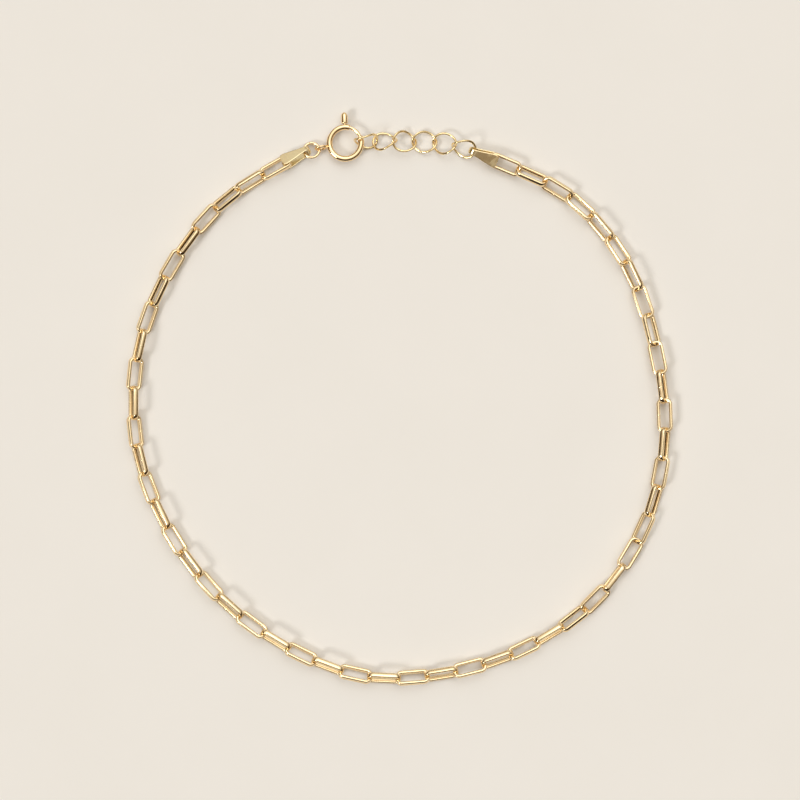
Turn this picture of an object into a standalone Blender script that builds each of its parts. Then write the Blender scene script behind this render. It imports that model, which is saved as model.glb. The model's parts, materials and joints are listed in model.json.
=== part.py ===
"""Chain anklet, closed and lying in a ring.

Metres, +Z up. The anklet lies on Z = 0, with the middle of its box on the Z axis and the clasp on
the +Y side. Every piece of the loop reaches from one anchor to the next: the anchors lie on a closed
curve, which is sized so that all the pieces together close it.
"""
import math
import random

import bmesh
import bpy
import numpy as np
from mathutils import Matrix, Vector

# Paperclip links of flattened wire: outside length and width, the wire's width at the ends and along the
# long sides, its greater depth through the link, and the flat share of each face
LINK_COUNT = 51
LINK_LENGTH = 0.0052
LINK_WIDTH = 0.00235
LINK_WIRE = 0.00046
LINK_STRAND = 0.0005
LINK_DEPTH = 0.00078
LINK_FLAT = 0.5
LINK_CORNER = 0.0005
LINK_FUSION = 0.00006

# Round extender links, twisted a little so that they lie flat, and how far below the middle of link 1
# the clasp passes through it
EXTENDER_COUNT = 6
EXTENDER_LENGTH = 0.00394
EXTENDER_WIDTH = 0.0034
EXTENDER_WIRE = 0.00035
EXTENDER_TWIST = 56.0
EXTENDER_GAP = 0.00016
HOOKED_DROP = 0.0006

# Jump ring
RING_DIAMETER = 0.00275
RING_WIRE = 0.00042

# Folded end tabs: a plate bent round a bore, with two leaves and a weld post between them
TAB_LENGTH = 0.00465
TAB_WIDTH = 0.002
TAB_PLATE = 0.00017
TAB_BORE = 0.00124
TAB_MOUTH = 0.00118
TAB_SLACK = 0.0002
TAB_POST = 0.0005
TAB_POST_INSET = 0.00058

# Outline of a leaf, from the bore's axis to the wide end
LEAF_OUTLINE = (
    # share of the leaf's length, share of the tab's width
    (0.00, 0.44),
    (0.28, 0.60),
    (0.55, 0.82),
    (0.78, 0.98),
    (0.90, 1.00),
    (0.97, 0.84),
    (1.00, 0.58),
)

# Spring ring clasp
CLASP_DIAMETER = 0.00565
CLASP_TUBE = 0.00088
CLASP_WALL = 0.0001
BOLT_WIRE = 0.0005
BOLT_TIP = 17.0
BOLT_TAIL = 126.0
BOLT_OPENS = 58.0
GAP_START = 22.0
GAP_END = 74.0
KNOB_ANGLE = 91.0
KNOB_NECK = 0.0004
KNOB_HEAD = 0.00102
KNOB_TOP = 0.00166
KNOB_OUTLINE = (
    # share of the head's height, share of its width
    (0.00, 0.88),
    (0.12, 1.00),
    (0.66, 1.00),
    (0.90, 0.76),
    (1.00, 0.36),
)
EYE_ANGLE = 190.0
EYE_LENGTH = 0.00195
EYE_WIDTH = 0.0017
EYE_WIRE = 0.00038
EYE_ROLL = -78.0
EYE_SOLDER = 0.00006
HOOK_GAP = 0.0006

# Clearances between loose pieces, and round the moving bolt
LOOSE_GAP = 0.0001
KNOB_GAP = 0.00008

# How far a piece is rolled about the line of the chain, in degrees, inner side up
ROLL_EVEN = -32.0
ROLL_ODD = 56.0
ROLL_SPREAD = 7.0
ROLL_SEED = 5
LEFT_TAB_ROLL = 30.0
RIGHT_TAB_ROLL = -20.0
RING_ROLL = 16.0
CLASP_ROLL = 0.0
LINK_ROLLS = {
    1: LEFT_TAB_ROLL, 2: -54.0, 3: 46.0,
    32: -50.0, 33: 18.0, 34: -84.0, 35: 8.0, 36: -38.0, 40: -15.0,
    42: -8.0, 43: 40.0, 44: -8.0, 45: -54.0, 46: 28.0, 47: -50.0,
    48: 30.0, 49: -34.0, 50: 44.0, 51: RIGHT_TAB_ROLL,
}
EXTENDER_ROLLS = {1: -62.0, 2: 36.0, 3: 8.0, 4: 0.0, 5: 0.0, 6: -46.0}

# The route of the whole loop, seen from above and counter-clockwise, from the left tab's link
ROUTE = (
    # x, y
    (-0.01660, 0.03740),
    (-0.02730, 0.03045),
    (-0.03520, 0.01980),
    (-0.03940, 0.00765),
    (-0.03930, -0.00555),
    (-0.03465, -0.01785),
    (-0.02670, -0.02820),
    (-0.01650, -0.03560),
    (-0.00495, -0.03975),
    (0.00740, -0.03910),
    (0.01905, -0.03525),
    (0.02925, -0.02805),
    (0.03660, -0.01690),
    (0.03945, -0.00390),
    (0.03810, 0.00920),
    (0.03390, 0.02160),
    (0.02565, 0.03160),
    (0.01480, 0.03705),
    (0.00670, 0.03985),
    (-0.00255, 0.04015),
    (-0.00780, 0.03975),
    (-0.01225, 0.03915),
)

# Fineness of the meshes
WIRE_SIDES = 6
CORNER_STEPS = 2
ROUND_POINTS = 14
TUBE_SIDES = 10
TUBE_STEP = 11.0
FOLD_STEPS = 6
ROUTE_STEPS = 200
SETTLING_ROUNDS = 200
SIZING_ROUNDS = 40

GOLD = (0.83, 0.62, 0.30, 1.0)
CLASP_GOLD = (0.86, 0.66, 0.34, 1.0)
TAB_GOLD = (0.72, 0.50, 0.22, 1.0)


def oval_outline(length, width, points):
    """Centreline of an oval wire ring: each point with its outward direction."""
    outline = []
    for index in range(points):
        angle = 2 * math.pi * index / points
        place = Vector((length / 2 * math.cos(angle), width / 2 * math.sin(angle), 0))
        out = Vector((width * math.cos(angle), length * math.sin(angle), 0)).normalized()
        outline.append((place, out))
    return outline


def paperclip_outline(length, width, corner, steps):
    """Centreline of a rounded rectangle of wire: each point with its outward direction."""
    outline = []
    for quarter, (side_x, side_y) in enumerate(((1, 1), (-1, 1), (-1, -1), (1, -1))):
        centre = Vector((side_x * (length / 2 - corner), side_y * (width / 2 - corner), 0))
        for step in range(steps + 1):
            angle = (quarter + step / steps) * math.pi / 2
            out = Vector((math.cos(angle), math.sin(angle), 0))
            outline.append((centre + corner * out, out))
    return outline


def round_section(place, out, up, radius, sides):
    """Corners of a round wire's section, with one corner pointing out and one in."""
    section = []
    for side in range(sides):
        turn = 2 * math.pi * side / sides
        section.append(place + radius * (math.cos(turn) * out + math.sin(turn) * up))
    return section


def skin(sections, closed):
    """A closed surface over a row of sections, either looped or with capped ends."""
    shape = bmesh.new()
    rows = [[shape.verts.new(corner) for corner in section] for section in sections]
    sides = len(rows[0])
    pairs = list(zip(rows, rows[1:])) + ([(rows[-1], rows[0])] if closed else [])
    for near, far in pairs:
        for side in range(sides):
            after = (side + 1) % sides
            shape.faces.new((near[side], far[side], far[after], near[after]))
    if not closed:
        shape.faces.new(rows[0])
        shape.faces.new(rows[-1])
    bmesh.ops.recalc_face_normals(shape, faces=shape.faces)
    return shape


def wire_ring(outline, wire):
    """A closed ring of round wire along a flat centreline."""
    up = Vector((0, 0, 1))
    sections = [round_section(place, out, up, wire / 2, WIRE_SIDES) for place, out in outline]
    return skin(sections, closed=True)


def finished_mesh(name, shape, sharp=50.0):
    mesh = bpy.data.meshes.new(name)
    shape.to_mesh(mesh)
    shape.free()
    mesh.shade_smooth()
    mesh.set_sharp_from_angle(angle=math.radians(sharp))
    return mesh


def wire_feet(outline, wire):
    """What a wire can stand on: the points of its centreline, each with the wire's radius."""
    return [(place, wire / 2) for place, _ in outline]


def paperclip_line():
    return paperclip_outline(LINK_LENGTH - LINK_WIRE, LINK_WIDTH - LINK_STRAND, LINK_CORNER, CORNER_STEPS)


def link_width(out):
    """Width of a link's wire where it faces that way: the long sides are a little wider than the ends."""
    return LINK_WIRE + (LINK_STRAND - LINK_WIRE) * abs(out.y)


def paperclip_sections():
    """Corners of a link of flattened wire: six sides, with a narrow flat face above and below."""
    rise = Vector((0, 0, LINK_DEPTH / 2))
    sections = []
    for place, out in paperclip_line():
        side = link_width(out) / 2 * out
        flat = LINK_FLAT * side
        upper = [place + side, place + flat + rise, place - flat + rise]
        lower = [place - side, place - flat - rise, place + flat - rise]
        sections.append(upper + lower)
    return sections


def paperclip_mesh():
    return finished_mesh("paperclip_link", skin(paperclip_sections(), closed=True))


def paperclip_feet():
    """What a link can stand on: the corners of its sections."""
    return [(corner, 0.0) for section in paperclip_sections() for corner in section]


def extender_line():
    return oval_outline(EXTENDER_LENGTH - EXTENDER_WIRE, EXTENDER_WIDTH - EXTENDER_WIRE, ROUND_POINTS)


def twisted(place):
    """A point of an extender link: its two ends are turned against each other, as in a curb chain."""
    turn = -math.radians(EXTENDER_TWIST) * place.x / (EXTENDER_LENGTH - EXTENDER_WIRE)
    return Matrix.Rotation(turn, 3, "X") @ place


def extender_mesh():
    shape = wire_ring(extender_line(), EXTENDER_WIRE)
    for corner in shape.verts:
        corner.co = twisted(corner.co)
    return finished_mesh("extender_link", shape)


def extender_feet():
    return [(twisted(place), radius) for place, radius in wire_feet(extender_line(), EXTENDER_WIRE)]


def jump_ring_line():
    across = RING_DIAMETER - RING_WIRE
    return oval_outline(across, across, ROUND_POINTS)


def jump_ring_mesh():
    return finished_mesh("jump_ring", wire_ring(jump_ring_line(), RING_WIRE))


def tab_leaf_length():
    return TAB_LENGTH - TAB_BORE / 2 - TAB_PLATE


def tab_post_place():
    return tab_leaf_length() - TAB_POST_INSET


def tab_seat():
    """Where the last paperclip link's end bar lies in the tab, from the bore's axis."""
    return tab_post_place() - TAB_POST / 2 - LOOSE_GAP - LINK_WIRE / 2


def leaf_height(share):
    """Height of a leaf's middle plane: the leaves draw together towards their wide end."""
    return (TAB_BORE * (1 - share) + TAB_MOUTH * share + TAB_PLATE) / 2


def tab_mesh():
    """A plate folded round the bore: leaf, half round fold, leaf."""
    leaf = tab_leaf_length()
    stations = []
    for share, wide in reversed(LEAF_OUTLINE):
        stations.append((Vector((share * leaf, 0, leaf_height(share))), Vector((0, 0, 1)), wide))
    for step in range(1, FOLD_STEPS):
        angle = math.pi * (0.5 + step / FOLD_STEPS)
        out = Vector((math.cos(angle), 0, math.sin(angle)))
        stations.append((leaf_height(0) * out, out, LEAF_OUTLINE[0][1]))
    for share, wide in LEAF_OUTLINE:
        stations.append((Vector((share * leaf, 0, -leaf_height(share))), Vector((0, 0, -1)), wide))
    sections = []
    for place, out, wide in stations:
        thick, side = out * TAB_PLATE / 2, Vector((0, wide * TAB_WIDTH / 2, 0))
        outer, inner = place + thick, place - thick
        sections.append([outer + side, outer - side, inner - side, inner + side])
    return finished_mesh("end_tab", skin(sections, closed=False))


def tab_feet():
    """What a tab can stand on: the edges of its two leaves."""
    feet = []
    for share, wide in LEAF_OUTLINE:
        for side in (-1, 1):
            for face in (-1, 1):
                place = (share * tab_leaf_length(), side * wide * TAB_WIDTH / 2, face * leaf_height(share))
                feet.append((Vector(place), TAB_PLATE / 2))
    return feet


def tab_post_mesh():
    """The weld post between the leaves, reaching half way into each."""
    reach = leaf_height(tab_post_place() / tab_leaf_length())
    sections = []
    for height in (-reach, reach):
        place = Vector((tab_post_place(), 0, height))
        sections.append(round_section(place, Vector((1, 0, 0)), Vector((0, 1, 0)), TAB_POST / 2, 8))
    return finished_mesh("weld_post", skin(sections, closed=False))


def clasp_radius():
    return (CLASP_DIAMETER - CLASP_TUBE) / 2


def eye_start():
    """Distance from the clasp's middle to the centre of the eye's soldered end."""
    return clasp_radius() + (CLASP_TUBE + EYE_WIRE) / 2 - EYE_SOLDER


def eye_reach():
    """Distance from the clasp's middle to the anchor between the eye and the jump ring."""
    crossing = (EYE_WIRE + RING_WIRE) / 2 + LOOSE_GAP
    return eye_start() + EYE_LENGTH - EYE_WIRE - crossing / 2


def clasp_slant():
    """Angle of the line from the tube at the hook to the eye's anchor."""
    lift = math.radians(EYE_ANGLE - 180.0)
    return math.atan2(eye_reach() * math.sin(lift), eye_reach() * math.cos(lift) + clasp_radius())


def clasp_direction(angle):
    """Direction from the clasp's middle, where 0 degrees is the side that holds the extender."""
    turn = math.radians(angle) + math.pi - clasp_slant()
    return Vector((math.cos(turn), math.sin(turn), 0))


def arc_stations(start, end):
    """Evenly spaced angles along a stretch of the clasp's ring."""
    steps = max(2, round((end - start) / TUBE_STEP))
    return [start + (end - start) * step / steps for step in range(steps + 1)]


def clasp_tube_mesh():
    """The hollow tube of the clasp, from one side of its gap round to the other."""
    up = Vector((0, 0, 1))
    shape = bmesh.new()
    rows = []
    for angle in arc_stations(GAP_END, 360.0 + GAP_START):
        out = clasp_direction(angle)
        place = clasp_radius() * out
        outer = round_section(place, out, up, CLASP_TUBE / 2, TUBE_SIDES)
        inner = round_section(place, out, up, CLASP_TUBE / 2 - CLASP_WALL, TUBE_SIDES)
        rows.append([[shape.verts.new(corner) for corner in ring] for ring in (outer, inner)])
    for near, far in zip(rows, rows[1:]):
        for wall in (0, 1):
            for side in range(TUBE_SIDES):
                after = (side + 1) % TUBE_SIDES
                shape.faces.new((near[wall][side], far[wall][side], far[wall][after], near[wall][after]))
    for outer, inner in (rows[0], rows[-1]):
        for side in range(TUBE_SIDES):
            after = (side + 1) % TUBE_SIDES
            shape.faces.new((outer[side], outer[after], inner[after], inner[side]))
    bmesh.ops.recalc_face_normals(shape, faces=shape.faces)
    return finished_mesh("clasp_tube", shape)


def clasp_slot_mesh():
    """Cutter for the slot that the knob's neck travels in."""
    margin = math.degrees((KNOB_NECK / 2 + KNOB_GAP) / clasp_radius())
    half = KNOB_NECK / 2 + KNOB_GAP
    sections = []
    for angle in arc_stations(KNOB_ANGLE - margin, KNOB_ANGLE + BOLT_OPENS + margin):
        out = clasp_direction(angle)
        near, far = clasp_radius() * out, (clasp_radius() + CLASP_TUBE) * out
        rise = Vector((0, 0, half))
        sections.append([near + rise, far + rise, far - rise, near - rise])
    return finished_mesh("knob_slot", skin(sections, closed=False))


def eye_line():
    return oval_outline(EYE_LENGTH - EYE_WIRE, EYE_WIDTH - EYE_WIRE, ROUND_POINTS)


def eye_place():
    """Place of the oval eye, stood across the clasp and sunk a little into its tube."""
    out = clasp_direction(EYE_ANGLE)
    aim = Matrix.Rotation(math.atan2(out.y, out.x), 4, "Z")
    stand = Matrix.Rotation(math.radians(EYE_ROLL), 4, "X")
    return Matrix.Translation(out * (eye_start() + (EYE_LENGTH - EYE_WIRE) / 2)) @ aim @ stand


def clasp_eye_mesh():
    shape = wire_ring(eye_line(), EYE_WIRE)
    bmesh.ops.transform(shape, matrix=eye_place(), verts=shape.verts)
    return finished_mesh("clasp_eye", shape)


def knob_foot():
    """Distance from the clasp's middle to the underside of the knob's head."""
    return clasp_radius() + CLASP_TUBE / 2 + KNOB_GAP


def clasp_feet():
    """What the clasp can stand on: its ring, its eye and its knob."""
    feet = [(clasp_radius() * clasp_direction(angle), CLASP_TUBE / 2) for angle in arc_stations(0.0, 360.0)]
    feet += [(eye_place() @ place, radius) for place, radius in wire_feet(eye_line(), EYE_WIRE)]
    for share, wide in KNOB_OUTLINE:
        place = (knob_foot() + share * KNOB_TOP) * clasp_direction(KNOB_ANGLE)
        feet.append((place, wide * KNOB_HEAD / 2))
    return feet


def bolt_wire_mesh():
    """The curved bolt that closes the clasp's gap."""
    up = Vector((0, 0, 1))
    sections = []
    for angle in arc_stations(BOLT_TIP, BOLT_TAIL):
        out = clasp_direction(angle)
        sections.append(round_section(clasp_radius() * out, out, up, BOLT_WIRE / 2, TUBE_SIDES))
    return finished_mesh("bolt_wire", skin(sections, closed=False))


def knob_mesh():
    """The trigger: a neck through the slot and a round-topped head outside the tube."""
    out, up = clasp_direction(KNOB_ANGLE), Vector((0, 0, 1))
    side = up.cross(out)
    foot = knob_foot()
    turning = [(clasp_radius(), KNOB_NECK / 2), (foot, KNOB_NECK / 2)]
    turning += [(foot + share * KNOB_TOP, wide * KNOB_HEAD / 2) for share, wide in KNOB_OUTLINE]
    sections = [round_section(out * far, side, up, radius, TUBE_SIDES) for far, radius in turning]
    return finished_mesh("knob", skin(sections, closed=False))


class Piece:
    """One piece of the loop: its shapes by name, what it can stand on, its reach and its roll."""

    def __init__(self, shapes, feet, before, after, roll, offset=0.0, turn=0.0):
        self.shapes = shapes
        self.feet = feet
        self.before = before
        self.span = before + after
        self.roll = math.radians(roll)
        self.offset = offset
        self.own_turn = Matrix.Rotation(math.radians(turn), 4, "Z")

    def soles(self):
        """Each foot's share of the way along the piece, and its sole's height over the piece's line."""
        shares, rises = [], []
        for foot, radius in self.feet:
            place = self.own_turn @ foot + Vector((self.before, self.offset, 0))
            shares.append(place.x / self.span)
            rises.append(place.y * math.sin(self.roll) + place.z * math.cos(self.roll) - radius)
        return np.array(shares), np.array(rises)

    def matrix(self, start, end):
        """Place of the shapes when the piece reaches from start to end."""
        along = (end - start).normalized()
        inward = Vector((0, 0, 1)).cross(along).normalized()
        upright = along.cross(inward)
        side = math.cos(self.roll) * inward + math.sin(self.roll) * upright
        face = along.cross(side)
        middle = (start + end) / 2 + along * (self.before - self.span / 2) + side * self.offset
        axes = Matrix((along, side, face)).transposed().to_4x4()
        return Matrix.Translation(middle) @ axes @ self.own_turn


def link_roll(index, chance):
    """Links lie by turns on one side and on the other, and none quite like the next."""
    resting = (ROLL_EVEN if index % 2 == 0 else ROLL_ODD) + chance.uniform(-ROLL_SPREAD, ROLL_SPREAD)
    return LINK_ROLLS.get(index, resting)


def paperclip_pieces():
    chance = random.Random(ROLL_SEED)
    mesh, feet = paperclip_mesh(), paperclip_feet()
    crossing = LINK_WIRE - LINK_FUSION
    bar = (LINK_LENGTH - LINK_WIRE) / 2
    pieces = []
    for index in range(1, LINK_COUNT + 1):
        before = bar if index == 1 else bar - crossing / 2
        after = bar if index == LINK_COUNT else bar - crossing / 2
        pieces.append(Piece({f"link_{index}": mesh}, feet, before, after, link_roll(index, chance)))
    return pieces


def tab_piece(side, roll, turned):
    """An end tab with its post; the turned one comes after the last paperclip link.

    The ring or link in its fold hangs with a little slack, off the bore's axis.
    """
    shapes = {f"end_tab_{side}": tab_mesh(), f"weld_post_{side}": tab_post_mesh()}
    before, after = (tab_seat(), -TAB_SLACK) if turned else (-TAB_SLACK, tab_seat())
    return Piece(shapes, tab_feet(), before, after, roll, turn=180.0 if turned else 0.0)


def extender_pieces():
    """The extender's links from the right tab back to link 1, which the clasp holds."""
    mesh, feet = extender_mesh(), extender_feet()
    crossing = EXTENDER_WIRE + EXTENDER_GAP
    bar = (EXTENDER_LENGTH - EXTENDER_WIRE) / 2
    pieces = []
    for index in range(EXTENDER_COUNT, 1, -1):
        before = bar if index == EXTENDER_COUNT else bar - crossing / 2
        shapes = {f"extender_link_{index}": mesh}
        pieces.append(Piece(shapes, feet, before, bar - crossing / 2, EXTENDER_ROLLS.get(index, 0.0)))
    pieces.append(hooked_link(mesh, feet, bar))
    return pieces


def hooked_link(mesh, feet, bar):
    """Extender link 1: it leans with its clasp end up, and the clasp's tube passes below its middle."""
    before = bar - EXTENDER_WIRE / 2 - EXTENDER_GAP
    after = bar - EXTENDER_WIRE / 2 - HOOK_GAP - CLASP_TUBE / 2
    tip = math.atan2(HOOKED_DROP, before + after)
    span = math.hypot(HOOKED_DROP, before + after)
    roll = EXTENDER_ROLLS.get(1, 0.0)
    upward = math.copysign(1.0, roll)
    middle = before * math.cos(tip)
    offset = upward * before * math.sin(tip)
    turn = upward * math.degrees(tip)
    return Piece({"extender_link_1": mesh}, feet, middle, span - middle, roll, offset, turn)


def clasp_piece():
    """The clasp with its bolt, from the tube in extender link 1 to the eye in the jump ring."""
    shapes = {
        "clasp_body": clasp_tube_mesh(),
        "clasp_eye": clasp_eye_mesh(),
        "knob_slot": clasp_slot_mesh(),
        "clasp_bolt": bolt_wire_mesh(),
        "clasp_knob": knob_mesh(),
    }
    slant = clasp_slant()
    before = clasp_radius() * math.cos(slant)
    after = eye_reach() * math.cos(math.radians(EYE_ANGLE - 180.0) - slant)
    return Piece(shapes, clasp_feet(), before, after, CLASP_ROLL, offset=-clasp_radius() * math.sin(slant))


def jump_ring_piece():
    crossing = (EYE_WIRE + RING_WIRE) / 2 + LOOSE_GAP
    bar = (RING_DIAMETER - RING_WIRE) / 2
    feet = wire_feet(jump_ring_line(), RING_WIRE)
    return Piece({"jump_ring": jump_ring_mesh()}, feet, bar - crossing / 2, bar, RING_ROLL)


def loop_pieces():
    """All pieces of the loop, counter-clockwise from the left tab's link."""
    pieces = paperclip_pieces()
    pieces.append(tab_piece("right", RIGHT_TAB_ROLL, turned=True))
    pieces.extend(extender_pieces())
    pieces.append(clasp_piece())
    pieces.append(jump_ring_piece())
    pieces.append(tab_piece("left", LEFT_TAB_ROLL, turned=False))
    return pieces


def resting_heights(pieces):
    """Height of each anchor, raised only as far as the floor under the pieces asks."""
    heights = np.zeros(len(pieces))
    soles = [piece.soles() for piece in pieces]
    for _ in range(SETTLING_ROUNDS):
        for index, (shares, rises) in enumerate(soles):
            after = (index + 1) % len(pieces)
            sinks = -(heights[index] * (1 - shares) + heights[after] * shares + rises)
            deepest = int(np.argmax(sinks))
            if sinks[deepest] > 0:
                near, far = 1 - shares[deepest], shares[deepest]
                push = sinks[deepest] / (near**2 + far**2)
                heights[index] += push * near
                heights[after] += push * far
    return heights


def smooth_route():
    """A fine closed Catmull-Rom curve through the points of the route."""
    fine = []
    for index in range(len(ROUTE)):
        a, b, c, d = (np.array(ROUTE[(index + shift) % len(ROUTE)]) for shift in (-1, 0, 1, 2))
        for step in range(ROUTE_STEPS):
            t = step / ROUTE_STEPS
            bend = (2 * a - 5 * b + 4 * c - d) * t**2 + (3 * b - a - 3 * c + d) * t**3
            fine.append((2 * b + (c - a) * t + bend) / 2)
    return np.array(fine)


def walk(route, chords):
    """Steps of the given lengths along a closed curve: the anchors, and the laps it took."""
    points = [tuple(point) for point in route]
    anchors, passed, laps = [points[0]], 0, 0.0
    for chord in chords:
        here = anchors[-1]
        while math.dist(here, points[(passed + 1) % len(points)]) < chord:
            passed += 1
        near, far = points[passed % len(points)], points[(passed + 1) % len(points)]
        short, long = math.dist(here, near), math.dist(here, far)
        share = (chord - short) / (long - short)
        anchors.append(tuple(n + (f - n) * share for n, f in zip(near, far)))
        laps = (passed + share) / len(points)
    return anchors[:-1], laps


def closed_anchors(chords):
    """Anchors on the route, which is sized by halving until the last step ends at the first."""
    route = smooth_route()
    small, large = 0.5, 2.0
    for _ in range(SIZING_ROUNDS):
        size = (small + large) / 2
        anchors, laps = walk(route * size, chords)
        small, large = (size, large) if laps > 1 else (small, size)
    return anchors


def lay_out(pieces):
    """Place of each piece of the closed loop, lying on the floor."""
    heights = resting_heights(pieces)
    rises = np.roll(heights, -1) - heights
    chords = [math.sqrt(piece.span**2 - rise**2) for piece, rise in zip(pieces, rises)]
    anchors = [Vector((x, y, z)) for (x, y), z in zip(closed_anchors(chords), heights)]
    ends = anchors[1:] + anchors[:1]
    return [piece.matrix(start, end) for piece, start, end in zip(pieces, anchors, ends)]


def gold(name, colour, roughness):
    material = bpy.data.materials.new(name)
    material.use_nodes = True
    shader = material.node_tree.nodes["Principled BSDF"]
    shader.inputs["Base Color"].default_value = colour
    shader.inputs["Metallic"].default_value = 1.0
    shader.inputs["Roughness"].default_value = roughness
    return material


def add_object(name, mesh, place, root):
    solid = bpy.data.objects.new(name, mesh)
    solid.location = place.to_translation()
    solid.rotation_euler = place.to_euler()
    solid.parent = root
    bpy.context.collection.objects.link(solid)
    return solid


def combine(target, operand, operation):
    """Joins a helper object to its target, or cuts it away, and hides the helper."""
    boolean = target.modifiers.new(operand.name, "BOOLEAN")
    boolean.operation = operation
    boolean.solver = "EXACT"
    boolean.object = operand
    operand.hide_render = True
    operand.display_type = "WIRE"


def joined_links(name, pieces, places):
    """One mesh of several links, each where it lies."""
    shape = bmesh.new()
    for piece, place in zip(pieces, places):
        for mesh in piece.shapes.values():
            copy = mesh.copy()
            copy.transform(place)
            shape.from_mesh(copy)
            bpy.data.meshes.remove(copy)
    return finished_mesh(name, shape)


def add_chain(pieces, places, root):
    """The fused chain: every other link, joined to the links between them."""
    odd = joined_links("odd_links", pieces[::2], places[::2])
    even = joined_links("even_links", pieces[1::2], places[1::2])
    chain = add_object("paperclip_chain", odd, Matrix.Identity(4), root)
    between = add_object("links_between", even, Matrix.Identity(4), root)
    combine(chain, between, "UNION")
    chain.data.materials.append(gold("chain_gold", GOLD, 0.22))


def add_trim(pieces, places, root):
    """Every other piece as its own object, with its helpers."""
    solids = {}
    for piece, place in zip(pieces, places):
        for name, mesh in piece.shapes.items():
            solids[name] = add_object(name, mesh, place, root)
    for target, operand, operation in (
        ("end_tab_left", "weld_post_left", "UNION"),
        ("end_tab_right", "weld_post_right", "UNION"),
        ("clasp_body", "clasp_eye", "UNION"),
        ("clasp_body", "knob_slot", "DIFFERENCE"),
        ("clasp_bolt", "clasp_knob", "UNION"),
    ):
        combine(solids[target], solids[operand], operation)
    finishes = {
        "end_tab": gold("tab_gold", TAB_GOLD, 0.28),
        "jump_ring": gold("ring_gold", GOLD, 0.2),
        "clasp": gold("clasp_gold", CLASP_GOLD, 0.18),
        "extender": gold("extender_gold", GOLD, 0.22),
    }
    for name, solid in solids.items():
        for start, finish in finishes.items():
            if name.startswith(start) and not solid.data.materials:
                solid.data.materials.append(finish)


def seat_on_origin(root):
    """Moves the root so that the middle of the box's underside is the origin."""
    bpy.context.view_layer.update()
    graph = bpy.context.evaluated_depsgraph_get()
    corners = []
    for solid in root.children:
        if not solid.hide_render:
            shown = solid.evaluated_get(graph)
            corners.extend(shown.matrix_world @ corner.co for corner in shown.data.vertices)
    corners = np.array(corners)
    low, high = corners.min(axis=0), corners.max(axis=0)
    root.location = (-(low[0] + high[0]) / 2, -(low[1] + high[1]) / 2, -low[2])


def main():
    for leftover in list(bpy.data.objects):
        bpy.data.objects.remove(leftover)
    root = bpy.data.objects.new("anklet", None)
    bpy.context.collection.objects.link(root)
    pieces = loop_pieces()
    places = lay_out(pieces)
    add_chain(pieces[:LINK_COUNT], places[:LINK_COUNT], root)
    add_trim(pieces[LINK_COUNT:], places[LINK_COUNT:], root)
    seat_on_origin(root)


main()
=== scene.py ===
# %% [markdown]
# # A gold chain anklet, lying closed in a ring
#
# The real anklet is 51 paperclip links of thin gold-plated wire, with a folded tab at each end, a short
# extender of round links, a jump ring and a spring ring clasp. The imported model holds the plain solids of
# these pieces. This script stands a finely made piece in the place of each solid, gives it a finish, and
# lights it like a photo taken from straight above. Lengths are in metres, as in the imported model.

# %% Load the frame
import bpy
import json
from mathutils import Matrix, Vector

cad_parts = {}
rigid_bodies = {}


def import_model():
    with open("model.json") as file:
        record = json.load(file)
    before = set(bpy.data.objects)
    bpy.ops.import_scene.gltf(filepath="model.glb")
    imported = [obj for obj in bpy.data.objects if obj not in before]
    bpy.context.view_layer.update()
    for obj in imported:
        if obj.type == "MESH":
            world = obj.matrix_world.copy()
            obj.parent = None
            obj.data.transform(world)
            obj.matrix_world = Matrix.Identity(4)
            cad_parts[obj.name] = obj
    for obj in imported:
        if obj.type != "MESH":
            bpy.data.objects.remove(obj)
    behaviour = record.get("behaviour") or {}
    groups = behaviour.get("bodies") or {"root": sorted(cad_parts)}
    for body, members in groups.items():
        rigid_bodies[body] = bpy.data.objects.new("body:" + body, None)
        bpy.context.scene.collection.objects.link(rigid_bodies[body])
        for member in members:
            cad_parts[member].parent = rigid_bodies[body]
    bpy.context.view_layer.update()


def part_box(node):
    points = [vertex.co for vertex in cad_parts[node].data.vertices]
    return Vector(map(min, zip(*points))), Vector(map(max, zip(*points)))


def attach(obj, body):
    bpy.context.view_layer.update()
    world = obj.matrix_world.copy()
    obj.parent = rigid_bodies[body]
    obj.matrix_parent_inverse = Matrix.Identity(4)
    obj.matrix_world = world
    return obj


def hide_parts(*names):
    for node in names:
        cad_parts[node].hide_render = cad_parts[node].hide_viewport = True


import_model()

# %% Tools and the millimetre
import json
import math
import random

import bmesh
import bpy
import numpy as np
from mathutils import Matrix, Vector

MM = 0.001

# %% [markdown]
# ## The camera
#
# The photo looks straight down from well above, so the ring keeps its shape and the far side is no smaller
# than the near side. A 100 mm lens from a third of a metre does the same. One pixel of the photo is 0.15 mm
# on the surface, which sets how wide the view is.

# %% Camera straight above
PIXEL = 0.15 * MM
PHOTO_SIDE = 800
VIEW_CENTRE = Vector((0.5 * PIXEL, -1.0 * PIXEL, 1.0 * MM))
LENS = 100.0
SENSOR = 36.0

camera_data = bpy.data.cameras.new("camera")
camera_data.lens = LENS
camera_data.sensor_width = SENSOR
camera = bpy.data.objects.new("camera", camera_data)
camera.location = VIEW_CENTRE + Vector((0, 0, PIXEL * PHOTO_SIDE * LENS / SENSOR))
bpy.context.collection.objects.link(camera)
bpy.context.scene.camera = camera
print("camera height in mm:", round(camera.location.z / MM, 1))

# %% [markdown]
# ## Centrelines of wire
#
# Every link and ring starts as a wire bent along a flat line. Two lines are enough: a rounded rectangle for
# the paperclip links, and an oval for the extender links, the jump ring and the clasp's eye. Each returns
# points with the direction that faces outwards there, because a round wire can be skinned from those two
# alone. The number of points is an argument: few points say where a piece rests, many make a smooth one.


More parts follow.
